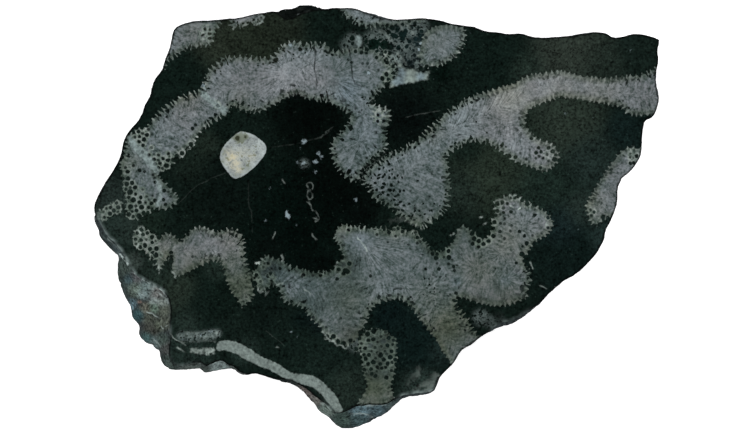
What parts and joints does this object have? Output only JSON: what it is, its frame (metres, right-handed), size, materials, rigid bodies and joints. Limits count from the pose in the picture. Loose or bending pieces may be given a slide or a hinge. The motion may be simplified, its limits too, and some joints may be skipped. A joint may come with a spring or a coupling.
{
  "type": "polished fossil coral slab",
  "caption": "Sawn and polished slab of black limestone with a broken outline, holding branching fossil coral cut through in section; rests flat on its sawn underside.",
  "frame": {"origin": "on the underside, under the middle of the slab's bounding box", "axes": "+X along the slab's longest side, +Y towards the edge that is uppermost in the picture, +Z out of the polished face"},
  "size_m": [0.0998, 0.075, 0.014],
  "materials": {
    "limestone": "polished"
  },
  "bodies": {
    "root": {"coral_slab": "limestone"}
  },
  "joints": []
}
